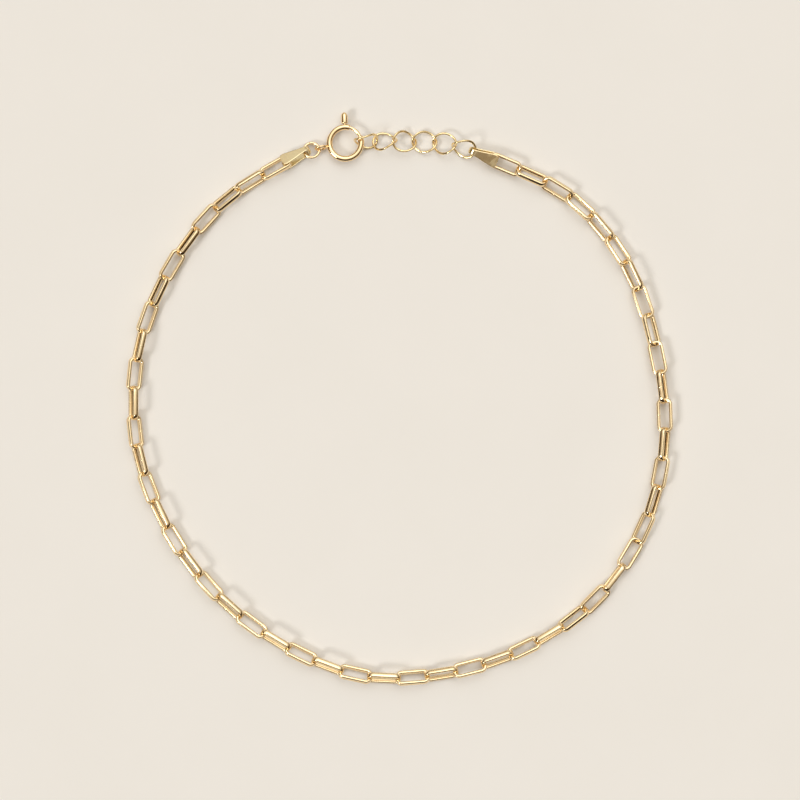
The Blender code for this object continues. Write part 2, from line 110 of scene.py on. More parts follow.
# %% The two centrelines
def oval_line(length, width, points):
    line = []
    for index in range(points):
        angle = 2 * math.pi * index / points
        place = Vector((length / 2 * math.cos(angle), width / 2 * math.sin(angle), 0))
        line.append((place, Vector((width * math.cos(angle), length * math.sin(angle), 0)).normalized()))
    return line


def paperclip_line(length, width, corner, steps):
    line = []
    for quarter, (side_x, side_y) in enumerate(((1, 1), (-1, 1), (-1, -1), (1, -1))):
        centre = Vector((side_x * (length / 2 - corner), side_y * (width / 2 - corner), 0))
        for step in range(steps + 1):
            angle = (quarter + step / steps) * math.pi / 2
            out = Vector((math.cos(angle), math.sin(angle), 0))
            line.append((centre + corner * out, out))
    return line


print("points of a plain link's line:", len(paperclip_line(5.0, 2.0, 0.5, 2)))

# %% [markdown]
# ## How the loop lies
#
# A chain lying still is a row of pieces, each reaching from one anchor to the next. An anchor is where two
# neighbours cross. Each piece is rolled about its own line, because a link can't lie flat while the next
# one passes through it, and its feet are the points that could touch the floor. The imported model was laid
# out in this way, so the same sizes and the same three steps put every fine piece where its solid is:
# raise the anchors off the floor, size the route so that the loop closes, and turn each piece into place.

# %% Sizes of the links, rings and tabs
LINK_COUNT = 51
LINK_LENGTH = 5.2 * MM
LINK_WIDTH = 2.35 * MM
LINK_WIRE = 0.46 * MM
LINK_STRAND = 0.5 * MM
LINK_DEPTH = 0.78 * MM
LINK_FLAT = 0.5
LINK_CORNER = 0.5 * MM
LINK_FUSION = 0.06 * MM

EXTENDER_COUNT = 6
EXTENDER_LENGTH = 3.94 * MM
EXTENDER_WIDTH = 3.4 * MM
EXTENDER_WIRE = 0.35 * MM
EXTENDER_TWIST = 56.0
EXTENDER_GAP = 0.16 * MM
HOOKED_DROP = 0.6 * MM

RING_DIAMETER = 2.75 * MM
RING_WIRE = 0.42 * MM

TAB_LENGTH = 4.65 * MM
TAB_WIDTH = 2.0 * MM
TAB_PLATE = 0.17 * MM
TAB_BORE = 1.24 * MM
TAB_MOUTH = 1.18 * MM
TAB_SLACK = 0.2 * MM
TAB_POST = 0.5 * MM
TAB_POST_INSET = 0.58 * MM
LEAF_OUTLINE = (
    # share of the leaf's length, share of the tab's width
    (0.00, 0.44),
    (0.28, 0.60),
    (0.55, 0.82),
    (0.78, 0.98),
    (0.90, 1.00),
    (0.97, 0.84),
    (1.00, 0.58),
)
LOOSE_GAP = 0.1 * MM
print("chain of links in mm:", round(LINK_COUNT * (LINK_LENGTH - 2 * LINK_WIRE + LINK_FUSION) / MM, 1))

# %% Sizes of the clasp
CLASP_DIAMETER = 5.65 * MM
CLASP_TUBE = 0.88 * MM
CLASP_WALL = 0.1 * MM
BOLT_WIRE = 0.5 * MM
BOLT_TIP = 17.0
BOLT_TAIL = 126.0
BOLT_OPENS = 58.0
GAP_START = 22.0
GAP_END = 74.0
KNOB_ANGLE = 91.0
KNOB_NECK = 0.4 * MM
KNOB_HEAD = 1.02 * MM
KNOB_TOP = 1.66 * MM
KNOB_GAP = 0.08 * MM
KNOB_OUTLINE = (
    # share of the head's height, share of its width
    (0.00, 0.88),
    (0.12, 1.00),
    (0.66, 1.00),
    (0.90, 0.76),
    (1.00, 0.36),
)
EYE_ANGLE = 190.0
EYE_LENGTH = 1.95 * MM
EYE_WIDTH = 1.7 * MM
EYE_WIRE = 0.38 * MM
EYE_ROLL = -78.0
EYE_SOLDER = 0.06 * MM
HOOK_GAP = 0.6 * MM
clasp_radius = (CLASP_DIAMETER - CLASP_TUBE) / 2
print("clasp's own radius in mm:", round(clasp_radius / MM, 3))

# %% Rolls of the pieces, in degrees, inner side up
ROLL_EVEN = -32.0
ROLL_ODD = 56.0
ROLL_SPREAD = 7.0
ROLL_SEED = 5
LEFT_TAB_ROLL = 30.0
RIGHT_TAB_ROLL = -20.0
RING_ROLL = 16.0
CLASP_ROLL = 0.0
LINK_ROLLS = {
    1: LEFT_TAB_ROLL, 2: -54.0, 3: 46.0,
    32: -50.0, 33: 18.0, 34: -84.0, 35: 8.0, 36: -38.0, 40: -15.0,
    42: -8.0, 43: 40.0, 44: -8.0, 45: -54.0, 46: 28.0, 47: -50.0,
    48: 30.0, 49: -34.0, 50: 44.0, 51: RIGHT_TAB_ROLL,
}
EXTENDER_ROLLS = {1: -62.0, 2: 36.0, 3: 8.0, 4: 0.0, 5: 0.0, 6: -46.0}


def link_roll(index, chance):
    """Links lie by turns on one side and on the other, and none quite like the next."""
    resting = (ROLL_EVEN if index % 2 == 0 else ROLL_ODD) + chance.uniform(-ROLL_SPREAD, ROLL_SPREAD)
    return LINK_ROLLS.get(index, resting)


print("links with a roll of their own:", len(LINK_ROLLS))

# %% Route of the whole loop, seen from above and counter-clockwise, from the left tab's link
ROUTE = (
    # x, y in mm
    (-16.60, 37.40),
    (-27.30, 30.45),
    (-35.20, 19.80),
    (-39.40, 7.65),
    (-39.30, -5.55),
    (-34.65, -17.85),
    (-26.70, -28.20),
    (-16.50, -35.60),
    (-4.95, -39.75),
    (7.40, -39.10),
    (19.05, -35.25),
    (29.25, -28.05),
    (36.60, -16.90),
    (39.45, -3.90),
    (38.10, 9.20),
    (33.90, 21.60),
    (25.65, 31.60),
    (14.80, 37.05),
    (6.70, 39.85),
    (-2.55, 40.15),
    (-7.80, 39.75),
    (-12.25, 39.15),
)
ROUTE_STEPS = 200


def smooth_route():
    """A fine closed Catmull-Rom curve through the points of the route."""
    fine = []
    for index in range(len(ROUTE)):
        a, b, c, d = (np.array(ROUTE[(index + shift) % len(ROUTE)]) * MM for shift in (-1, 0, 1, 2))
        for step in range(ROUTE_STEPS):
            t = step / ROUTE_STEPS
            bend = (2 * a - 5 * b + 4 * c - d) * t**2 + (3 * b - a - 3 * c + d) * t**3
            fine.append((2 * b + (c - a) * t + bend) / 2)
    return np.array(fine)


print("points on the fine route:", len(smooth_route()))

# %% [markdown]
# ## Feet
#
# A foot is a point with a radius, and a piece stands on the lowest of its feet. A round wire's feet are
# points of its centreline, a paperclip link's are the corners of its wire's plain section, and a tab's lie
# on the edges of its leaves. The clasp stands on its ring, its eye or its knob. The plain solids have few
# points, and the feet use the same few points, so that the heights agree.

# %% Feet of wires and tabs
PLAIN_CORNER_STEPS = 2
PLAIN_ROUND_POINTS = 14
PLAIN_TUBE_STEP = 11.0
leaf_length = TAB_LENGTH - TAB_BORE / 2 - TAB_PLATE
post_place = leaf_length - TAB_POST_INSET
tab_seat = post_place - TAB_POST / 2 - LOOSE_GAP - LINK_WIRE / 2


def wire_feet(line, wire):
    return [(place, wire / 2) for place, _ in line]


def link_width(out):
    """Width of a link's wire where it faces that way: the long sides are a little wider than the ends."""
    return LINK_WIRE + (LINK_STRAND - LINK_WIRE) * abs(out.y)


def link_line(corner, steps):
    return paperclip_line(LINK_LENGTH - LINK_WIRE, LINK_WIDTH - LINK_STRAND, corner, steps)


def link_feet():
    """Corners of a plain link's sections, each with six sides and a narrow flat face above and below."""
    rise = Vector((0, 0, LINK_DEPTH / 2))
    feet = []
    for place, out in link_line(LINK_CORNER, PLAIN_CORNER_STEPS):
        side = link_width(out) / 2 * out
        half = (side, LINK_FLAT * side + rise, rise - LINK_FLAT * side)
        feet += [(place + face * corner, 0.0) for face in (1, -1) for corner in half]
    return feet


def twisted(place):
    """A point of an extender link: its two ends are turned against each other, as in a curb chain."""
    turn = -math.radians(EXTENDER_TWIST) * place.x / (EXTENDER_LENGTH - EXTENDER_WIRE)
    return Matrix.Rotation(turn, 3, "X") @ place


def leaf_height(share):
    """Height of a leaf's middle plane: the leaves draw together towards their wide end."""
    return (TAB_BORE * (1 - share) + TAB_MOUTH * share + TAB_PLATE) / 2


def tab_feet():
    feet = []
    for share, wide in LEAF_OUTLINE:
        for side in (-1, 1):
            for face in (-1, 1):
                place = (share * leaf_length, side * wide * TAB_WIDTH / 2, face * leaf_height(share))
                feet.append((Vector(place), TAB_PLATE / 2))
    return feet


print("feet of a tab:", len(tab_feet()))

# %% Directions round the clasp, and its feet
eye_start = clasp_radius + (CLASP_TUBE + EYE_WIRE) / 2 - EYE_SOLDER
eye_crossing = (EYE_WIRE + RING_WIRE) / 2 + LOOSE_GAP
eye_reach = eye_start + EYE_LENGTH - EYE_WIRE - eye_crossing / 2
eye_lift = math.radians(EYE_ANGLE - 180.0)
clasp_slant = math.atan2(eye_reach * math.sin(eye_lift), eye_reach * math.cos(eye_lift) + clasp_radius)
knob_foot = clasp_radius + CLASP_TUBE / 2 + KNOB_GAP


def clasp_direction(angle):
    """Direction from the clasp's middle, where 0 degrees is the side that holds the extender."""
    turn = math.radians(angle) + math.pi - clasp_slant
    return Vector((math.cos(turn), math.sin(turn), 0))


def arc_stations(start, end, step):
    steps = max(2, round((end - start) / step))
    return [start + (end - start) * index / steps for index in range(steps + 1)]


def eye_place():
    """Place of the oval eye, stood across the clasp and sunk a little into its tube."""
    out = clasp_direction(EYE_ANGLE)
    aim = Matrix.Rotation(math.atan2(out.y, out.x), 4, "Z")
    stand = Matrix.Rotation(math.radians(EYE_ROLL), 4, "X")
    return Matrix.Translation(out * (eye_start + (EYE_LENGTH - EYE_WIRE) / 2)) @ aim @ stand


def clasp_feet():
    stations = arc_stations(0.0, 360.0, PLAIN_TUBE_STEP)
    feet = [(clasp_radius * clasp_direction(angle), CLASP_TUBE / 2) for angle in stations]
    eye = oval_line(EYE_LENGTH - EYE_WIRE, EYE_WIDTH - EYE_WIRE, PLAIN_ROUND_POINTS)
    feet += [(eye_place() @ place, radius) for place, radius in wire_feet(eye, EYE_WIRE)]
    for share, wide in KNOB_OUTLINE:
        feet.append(((knob_foot + share * KNOB_TOP) * clasp_direction(KNOB_ANGLE), wide * KNOB_HEAD / 2))
    return feet


print("clasp's slant in degrees:", round(math.degrees(clasp_slant), 2))

# %% [markdown]
# ## One piece of the loop
#
# A piece needs a few facts to be laid: how far it reaches before and after its own origin, its roll and its
# feet, and for a lopsided piece an offset to the side and a turn of its own. The small class keeps them
# together and works out two things from them: how high each foot is over the line between the anchors, and
# the matrix that puts the piece between two anchors.

# %% The piece
UP = Vector((0, 0, 1))


class Piece:
    def __init__(self, name, feet, before, after, roll, offset=0.0, turn=0.0):
        self.name = name
        self.feet = feet
        self.before = before
        self.span = before + after
        self.roll = math.radians(roll)
        self.offset = offset
        self.own_turn = Matrix.Rotation(math.radians(turn), 4, "Z")

    def soles(self):
        """Each foot's share of the way along the piece, and its sole's height over the piece's line."""
        shares, rises = [], []
        for foot, radius in self.feet:
            place = self.own_turn @ foot + Vector((self.before, self.offset, 0))
            shares.append(place.x / self.span)
            rises.append(place.y * math.sin(self.roll) + place.z * math.cos(self.roll) - radius)
        return np.array(shares), np.array(rises)

    def matrix(self, start, end):
        along = (end - start).normalized()
        inward = UP.cross(along).normalized()
        upright = along.cross(inward)
        side = math.cos(self.roll) * inward + math.sin(self.roll) * upright
        middle = (start + end) / 2 + along * (self.before - self.span / 2) + side * self.offset
        axes = Matrix((along, side, along.cross(side))).transposed().to_4x4()
        return Matrix.Translation(middle) @ axes @ self.own_turn


trial = Piece("trial", [], before=1.0, after=2.0, roll=0.0)
print("a piece that reaches 1 before its origin and 2 after it spans", trial.span)

# %% [markdown]
# Now the pieces, in their order round the loop: the links, the right tab, the extender, the clasp, the jump
# ring and the left tab. How far one reaches to its anchor follows from the two wires that cross there.


# %% All pieces, counter-clockwise from the left tab's link
def paperclip_pieces():
    chance = random.Random(ROLL_SEED)
    feet = link_feet()
    crossing = LINK_WIRE - LINK_FUSION
    bar = (LINK_LENGTH - LINK_WIRE) / 2
    pieces = []
    for index in range(1, LINK_COUNT + 1):
        before = bar if index == 1 else bar - crossing / 2
        after = bar if index == LINK_COUNT else bar - crossing / 2
        pieces.append(Piece(f"link_{index}", feet, before, after, link_roll(index, chance)))
    return pieces


def extender_pieces():
    line = oval_line(EXTENDER_LENGTH - EXTENDER_WIRE, EXTENDER_WIDTH - EXTENDER_WIRE, PLAIN_ROUND_POINTS)
    feet = [(twisted(place), radius) for place, radius in wire_feet(line, EXTENDER_WIRE)]
    crossing = EXTENDER_WIRE + EXTENDER_GAP
    bar = (EXTENDER_LENGTH - EXTENDER_WIRE) / 2
    pieces = []
    for index in range(EXTENDER_COUNT, 1, -1):
        before = bar if index == EXTENDER_COUNT else bar - crossing / 2
        roll = EXTENDER_ROLLS.get(index, 0.0)
        pieces.append(Piece(f"extender_link_{index}", feet, before, bar - crossing / 2, roll))
    pieces.append(hooked_link(feet, bar))
    return pieces


def hooked_link(feet, bar):
    """Extender link 1: it leans with its clasp end up, and the clasp's tube passes below its middle."""
    before = bar - EXTENDER_WIRE / 2 - EXTENDER_GAP
    after = bar - EXTENDER_WIRE / 2 - HOOK_GAP - CLASP_TUBE / 2
    tip = math.atan2(HOOKED_DROP, before + after)
    span = math.hypot(HOOKED_DROP, before + after)
    roll = EXTENDER_ROLLS[1]
    upward = math.copysign(1.0, roll)
    middle = before * math.cos(tip)
    offset = upward * before * math.sin(tip)
    turn = upward * math.degrees(tip)
    return Piece("extender_link_1", feet, middle, span - middle, roll, offset, turn)


def clasp_piece():
    before = clasp_radius * math.cos(clasp_slant)
    after = eye_reach * math.cos(eye_lift - clasp_slant)
    offset = -clasp_radius * math.sin(clasp_slant)
    return Piece("clasp", clasp_feet(), before, after, CLASP_ROLL, offset=offset)


def jump_ring_piece():
    across = RING_DIAMETER - RING_WIRE
    feet = wire_feet(oval_line(across, across, PLAIN_ROUND_POINTS), RING_WIRE)
    return Piece("jump_ring", feet, across / 2 - eye_crossing / 2, across / 2, RING_ROLL)


loop = paperclip_pieces()
loop.append(Piece("end_tab_right", tab_feet(), tab_seat, -TAB_SLACK, RIGHT_TAB_ROLL, turn=180.0))
loop.extend(extender_pieces())
loop.append(clasp_piece())
loop.append(jump_ring_piece())
loop.append(Piece("end_tab_left", tab_feet(), -TAB_SLACK, tab_seat, LEFT_TAB_ROLL))
print("pieces in the loop:", len(loop))

# %% [markdown]
# ## Raise the anchors off the floor
#
# All anchors start on the floor. Where a foot would sink below it, the two anchors of that piece are
# raised just enough, the nearer one more. After enough rounds nothing sinks, and nothing is higher than
# its neighbours ask. This is a relaxation: simple, the same each run, and quick for 61 pieces.

# %% Heights of the anchors
SETTLING_ROUNDS = 200


def resting_heights(pieces):
    heights = np.zeros(len(pieces))
    soles = [piece.soles() for piece in pieces]
    for _ in range(SETTLING_ROUNDS):
        for index, (shares, rises) in enumerate(soles):
            after = (index + 1) % len(pieces)
            sinks = -(heights[index] * (1 - shares) + heights[after] * shares + rises)
            deepest = int(np.argmax(sinks))
            if sinks[deepest] > 0:
                near, far = 1 - shares[deepest], shares[deepest]
                push = sinks[deepest] / (near**2 + far**2)
                heights[index] += push * near
                heights[after] += push * far
    return heights


heights = resting_heights(loop)
print("anchors lie between", *(round(value / MM, 2) for value in (heights.min(), heights.max())), "mm up")

# %% [markdown]
# ## Close the loop
#
# Steps of the pieces' own lengths are walked along the route. If they end short of the start, the route is
# too large, and if they pass it, too small. Halving the range forty times closes the loop exactly.

# %% Anchors on the closed route
SIZING_ROUNDS = 40
SIZE_RANGE = (0.5, 2.0)


def walk(route, chords):
    """Steps of the given lengths along a closed curve: the anchors, and the laps it took."""
    points = [tuple(point) for point in route]
    anchors, passed, laps = [points[0]], 0, 0.0
    for chord in chords:
        here = anchors[-1]
        while math.dist(here, points[(passed + 1) % len(points)]) < chord:
            passed += 1
        near, far = points[passed % len(points)], points[(passed + 1) % len(points)]
        short, long = math.dist(here, near), math.dist(here, far)
        share = (chord - short) / (long - short)
        anchors.append(tuple(n + (f - n) * share for n, f in zip(near, far)))
        laps = (passed + share) / len(points)
    return anchors[:-1], laps


def closed_anchors(chords):
    route = smooth_route()
    small, large = SIZE_RANGE
    for _ in range(SIZING_ROUNDS):
        size = (small + large) / 2
        anchors, laps = walk(route * size, chords)
        small, large = (size, large) if laps > 1 else (small, size)
    print("the route is sized by", round(size, 4))
    return anchors


chords = [math.sqrt(piece.span**2 - rise**2) for piece, rise in zip(loop, np.roll(heights, -1) - heights)]
anchors = [Vector((x, y, z)) for (x, y), z in zip(closed_anchors(chords), heights)]
places = {}
for piece, start, end in zip(loop, anchors, anchors[1:] + anchors[:1]):
    places[piece.name] = piece.matrix(start, end)

# %% [markdown]
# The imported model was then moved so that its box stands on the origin. The jump ring shows by how much:
# its solid is the same from both sides, so the middle of its box is the middle of the ring.

# %% Move the lay-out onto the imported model
ring_low, ring_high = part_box("jump_ring")
seat = Matrix.Translation((Vector(ring_low) + Vector(ring_high)) / 2 - places["jump_ring"].translation)
places = {name: seat @ place for name, place in places.items()}
print("moved by", [round(value / MM, 3) for value in seat.translation], "mm")

# %% [markdown]
# ## Skin over rows of points
#
# A wire, a tube and a turned knob are all made in one way: a row of points for each section, and a skin of
# four-sided faces from row to row. A curve object with a round bevel could do it for plain wire, but not
# for a tube with a wall or for flattened wire, so one small function skins rows for every piece. It also
# lays a map on the faces, in mm along the piece and in turns round it, for finishes that follow the wire.

# %% Skins and finished pieces
CORNER_CUT = 0.25


def skin(shape, rows, closed=True, capped=True):
    """Faces over a row of sections, looped into a ring, or open with capped ends."""
    chart = shape.loops.layers.uv.verify()
    made = [[shape.verts.new(point) for point in row] for row in rows]
    sides = len(made[0])
    along = [0.0]
    for near, far in zip(rows, rows[1:] + rows[:1]):
        along.append(along[-1] + (Vector(far[0]) - Vector(near[0])).length / MM)
    for index in range(len(made) if closed else len(made) - 1):
        near, far = made[index], made[(index + 1) % len(made)]
        for side in range(sides):
            after = (side + 1) % sides
            face = shape.faces.new((near[side], far[side], far[after], near[after]))
            marks = ((index, side), (index + 1, side), (index + 1, side + 1), (index, side + 1))
            for loop_corner, (step, turn) in zip(face.loops, marks):
                loop_corner[chart].uv = (along[step], turn / sides)
    if not closed and capped:
        shape.faces.new(made[0])
        shape.faces.new(made[-1])
    return made


def round_row(place, out, up, radius, sides):
    turns = [2 * math.pi * side / sides for side in range(sides)]
    return [place + radius * (math.cos(turn) * out + math.sin(turn) * up) for turn in turns]


def placed(rows, place):
    return [[place @ point for point in row] for row in rows]


def piece_object(name, shape, sharp=40.0):
    """An object from a shape, with its faces turned outwards and shaded smooth."""
    bmesh.ops.recalc_face_normals(shape, faces=shape.faces)
    mesh = bpy.data.meshes.new(name)
    shape.to_mesh(mesh)
    shape.free()
    mesh.shade_smooth()
    mesh.set_sharp_from_angle(angle=math.radians(sharp))
    made = bpy.data.objects.new(name, mesh)
    bpy.context.collection.objects.link(made)
    return made


def softened(points, rounds):
    """A line of points with its corners cut, again and again, and its two ends kept."""
    for _ in range(rounds):
        cut = [points[0]]
        for near, far in zip(points, points[1:]):
            for share in (CORNER_CUT, 1 - CORNER_CUT):
                cut.append(tuple((1 - share) * n + share * f for n, f in zip(near, far)))
        points = cut + [points[-1]]
    return points


print("a right angle cut twice has", len(softened([(0, 1), (1, 1), (1, 0)], 2)), "points")

# %% [markdown]
# ## The paperclip links
#
# Each link is bent from flattened wire that stands on its edge, so it is deeper than it is wide, and is
# soldered shut in the middle of a long side. Seen from above, its inner walls show as bands of deeper gold.
# A flattened wire's section lies between an ellipse and a rectangle: raising the sine and the cosine to a
# power below one gives just that, and the power says how flat its sides are. All 51 links are one mesh,
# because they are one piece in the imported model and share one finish.

# %% Paperclip links
LINK_SIDES = 16
CORNER_POINTS = 7
ROUND_CORNER = 0.72 * MM
PRESSED = 0.65
SEAM_STEP = 0.06 * MM
SEAM_STEPS = (2, 1, 0, -1, -2)
SEAM_SWELL = 1.05


def pressed(share):
    """A sine or cosine drawn towards a square's."""
    return math.copysign(abs(share) ** PRESSED, share)


def link_rows():
    """Sections of one link in its own frame, with a slight swell where it is soldered."""
    line = link_line(ROUND_CORNER, CORNER_POINTS)
    first = len(line) // 4
    seam_y = (LINK_WIDTH - LINK_STRAND) / 2
    seam = [(Vector((steps * SEAM_STEP, seam_y, 0)), Vector((0, 1, 0))) for steps in SEAM_STEPS]
    rows = []
    for index, (place, out) in enumerate(line[:first] + seam + line[first:]):
        swell = SEAM_SWELL if index == first + len(seam) // 2 else 1.0
        half_wide, half_deep = swell * link_width(out) / 2, swell * LINK_DEPTH / 2
        row = []
        for side in range(LINK_SIDES):
            turn = 2 * math.pi * side / LINK_SIDES
            rise = Vector((0, 0, half_deep * pressed(math.sin(turn))))
            row.append(place + half_wide * pressed(math.cos(turn)) * out + rise)
        rows.append(row)
    return rows


def make_chain():
    """All links in one mesh. Two in four are turned end for end, so their seams lie on either side."""
    shape = bmesh.new()
    rows = link_rows()
    for index in range(1, LINK_COUNT + 1):
        half_turn = Matrix.Rotation(math.pi if index % 4 > 1 else 0.0, 4, "Z")
        skin(shape, placed(rows, places[f"link_{index}"] @ half_turn))
    return piece_object("fine_paperclip_chain", shape)


chain = make_chain()
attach(chain, "anklet")
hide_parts("paperclip_chain")
print("faces of the chain:", len(chain.data.polygons))

# %% [markdown]
# ## The extender
#
# An extender link is a nearly round ring of thin wire with its ends twisted against each other, so that a
# row of them lies flat. A butt joint closes each: a hairline groove where the two ends of the wire meet.

# %% Extender links
ROUND_SIDES = 16
EXTENDER_POINTS = 56
EXTENDER_JOINTS = (16, 20)
JOINT_STEP = 0.02 * MM
JOINT_DEPTH = 0.18
JOINT_OUTLINE = (
    # steps along the wire, share of the groove's depth
    (-2, 0.0),
    (-1, 0.2),
    (0, 1.0),
    (1, 0.2),
    (2, 0.0),
)


def ring_rows(length, width, wire, points, joint):
    """Sections of an oval wire ring, with a hairline groove at the point of the given number."""
    rows = []
    for index, (place, out) in enumerate(oval_line(length, width, points)):
        along = UP.cross(out)
        if index == joint:
            for steps, depth in JOINT_OUTLINE:
                radius = wire / 2 * (1 - depth * JOINT_DEPTH)
                rows.append(round_row(place + steps * JOINT_STEP * along, out, UP, radius, ROUND_SIDES))
        else:
            rows.append(round_row(place, out, UP, wire / 2, ROUND_SIDES))
    return rows


def make_extender_link(index):
    """A twisted link. Its joint is a little past the middle of a side, by turns nearer and farther."""
    length, width = EXTENDER_LENGTH - EXTENDER_WIRE, EXTENDER_WIDTH - EXTENDER_WIRE
    rows = ring_rows(length, width, EXTENDER_WIRE, EXTENDER_POINTS, EXTENDER_JOINTS[index % 2])
    place = places[f"extender_link_{index}"]
    shape = bmesh.new()
    skin(shape, [[place @ twisted(point) for point in row] for row in rows])
    return piece_object(f"fine_extender_link_{index}", shape)


extender = []
for index in range(1, EXTENDER_COUNT + 1):
    link = make_extender_link(index)
    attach(link, "anklet")
    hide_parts(f"extender_link_{index}")
    extender.append(link)
print("faces of an extender link:", len(extender[0].data.polygons))

# %% [markdown]
# The jump ring between the left tab and the clasp's eye is a plain round ring, so the same sections make
# it without the twist. Its joint faces the outside of the loop.

# %% Jump ring
RING_POINTS = 48
RING_JOINT = 36


def make_jump_ring():
    across = RING_DIAMETER - RING_WIRE
    rows = ring_rows(across, across, RING_WIRE, RING_POINTS, RING_JOINT)
    shape = bmesh.new()
    skin(shape, placed(rows, places["jump_ring"]))
    return piece_object("fine_jump_ring", shape)


jump_ring = make_jump_ring()
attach(jump_ring, "anklet")
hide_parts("jump_ring")
print("faces of the jump ring:", len(jump_ring.data.polygons))

# %% [markdown]
# ## The end tabs
#
# A tab is stamped from thin plate as two leaves joined by a narrow neck, and folded round the ring or link
# that it holds. Its leaves close on the last paperclip link, and a weld post between them keeps it in.
# The stamped edge is rounded by tumbling: that thin round edge is the bright line round each tab. A cube
# with a bevel would be quicker, but a section swept along the folded strip gives the fold and the leaves
# their shape at once.

# %% End tabs
# the last point of an outline, in shares like the others, which draws it nearly shut
CLOSED_END = (1.0, 0.02)
OUTLINE_ROUNDS = 3
FOLD_POINTS = 20
EDGE_POINTS = 5
EVEN_SHARE = 0.9
POST_SIDES = 20
POST_FILLET = 0.09 * MM
POST_OUTLINE = (
    # share of the post's half height, share of the fillet
    (-1.0, 1.0),
    (-0.8, 0.45),
    (-0.55, 0.0),
    (0.55, 0.0),
    (0.8, 0.45),
    (1.0, 1.0),
)


def plate_row(place, out, half_wide):
    """A section through the plate with round edges; a point near each edge keeps the faces flat."""
    half = TAB_PLATE / 2
    side = Vector((0, 1, 0))
    flat = max(half_wide - half, 0.0)
    edge = min(half, half_wide)
    row = []
    for sign in (1, -1):
        row.append(place + sign * (side * EVEN_SHARE * flat + out * half))
        for step in range(EDGE_POINTS):
            turn = math.pi * (0.5 - step / (EDGE_POINTS - 1))
            row.append(place + sign * (side * (flat + edge * math.cos(turn)) + out * half * math.sin(turn)))
        row.append(place + sign * (side * EVEN_SHARE * flat - out * half))
    return row


def tab_rows():
    """Sections along the folded strip: one leaf, the fold, the other leaf."""
    outline = softened([*LEAF_OUTLINE, CLOSED_END], OUTLINE_ROUNDS)
    rows = []
    for share, wide in reversed(outline):
        place = Vector((share * leaf_length, 0, leaf_height(share)))
        rows.append(plate_row(place, UP, wide * TAB_WIDTH / 2))
    for step in range(1, FOLD_POINTS):
        turn = math.pi * (0.5 + step / FOLD_POINTS)
        out = Vector((math.cos(turn), 0, math.sin(turn)))
        rows.append(plate_row(leaf_height(0) * out, out, LEAF_OUTLINE[0][1] * TAB_WIDTH / 2))
    for share, wide in outline:
        place = Vector((share * leaf_length, 0, -leaf_height(share)))
        rows.append(plate_row(place, -UP, wide * TAB_WIDTH / 2))
    return rows


def post_rows():
    """The weld post, which flares where it runs into each leaf."""
    reach = leaf_height(post_place / leaf_length)
    rows = []
    for height, flare in POST_OUTLINE:
        place = Vector((post_place, 0, height * reach))
        radius = TAB_POST / 2 + flare * POST_FILLET - POST_FILLET / 2
        rows.append(round_row(place, Vector((1, 0, 0)), Vector((0, 1, 0)), radius, POST_SIDES))
    return rows


def make_tab(side):
    shape = bmesh.new()
    for rows in (tab_rows(), post_rows()):
        skin(shape, placed(rows, places[f"end_tab_{side}"]), closed=False)
    return piece_object(f"fine_end_tab_{side}", shape, sharp=60.0)


tabs = []
for side in ("left", "right"):
    tab = make_tab(side)
    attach(tab, "anklet")
    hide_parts(f"end_tab_{side}")
    tabs.append(tab)
print("faces of a tab:", len(tabs[0].data.polygons))

# %% [markdown]
# ## The clasp
#
# A spring ring clasp is a thin tube bent into a ring with a gap. A curved bolt slides in the tube, pushed
# shut by a hidden spring, and its knob travels in a slot. The tube is skinned with its wall, so that its
# ends are open with a rolled lip, and the slot is cut by a Boolean, which follows the wall exactly.

# %% Clasp body
TUBE_SIDES = 32
TUBE_STEP = 3.5
LIP_ANGLE = 1.2
LIP_SHARES = (0.0, 0.3, 0.6)
LIP_ROUND = 0.045 * MM
SLOT_STEP = 1.0
SLOT_TIP = 0.02
EYE_POINTS = 40
SOLDER_SIDES = 24
SOLDER_ROUNDS = 2
SOLDER_OUTLINE = (
    # distance from the tube's surface in mm, radius in mm
    (-0.10, 0.34),
    (-0.02, 0.31),
    (0.04, 0.24),
    (0.12, 0.19),
    (0.22, 0.15),
)


def tube_radii(angle):
    """The wall's outer and inner radius, drawn together into a lip at the tube's two ends."""
    to_end = min(angle - GAP_END, 360.0 + GAP_START - angle)
    lip = LIP_ROUND * max(0.0, 1 - to_end / LIP_ANGLE) ** 2
    return CLASP_TUBE / 2 - lip, CLASP_TUBE / 2 - CLASP_WALL


def tube_shape():
    """The bent tube with its wall: an outer and an inner skin, joined at the two ends."""
    ends = [GAP_END + LIP_ANGLE * share for share in LIP_SHARES]
    middle = arc_stations(GAP_END + LIP_ANGLE, 360.0 + GAP_START - LIP_ANGLE, TUBE_STEP)
    stations = ends + middle + [GAP_END + 360.0 + GAP_START - angle for angle in reversed(ends)]
    outer, inner = [], []
    for angle in stations:
        out = clasp_direction(angle)
        for rows, radius in zip((outer, inner), tube_radii(angle)):
            rows.append(round_row(clasp_radius * out, out, UP, radius, TUBE_SIDES))
    shape = bmesh.new()
    walls = [skin(shape, rows, closed=False, capped=False) for rows in (outer, inner)]
    for end in (0, -1):
        for side in range(TUBE_SIDES):
            after = (side + 1) % TUBE_SIDES
            (near, far), (low, high) = ((walls[0][end][at], walls[1][end][at]) for at in (side, after))
            shape.faces.new((near, low, high, far))
    return shape


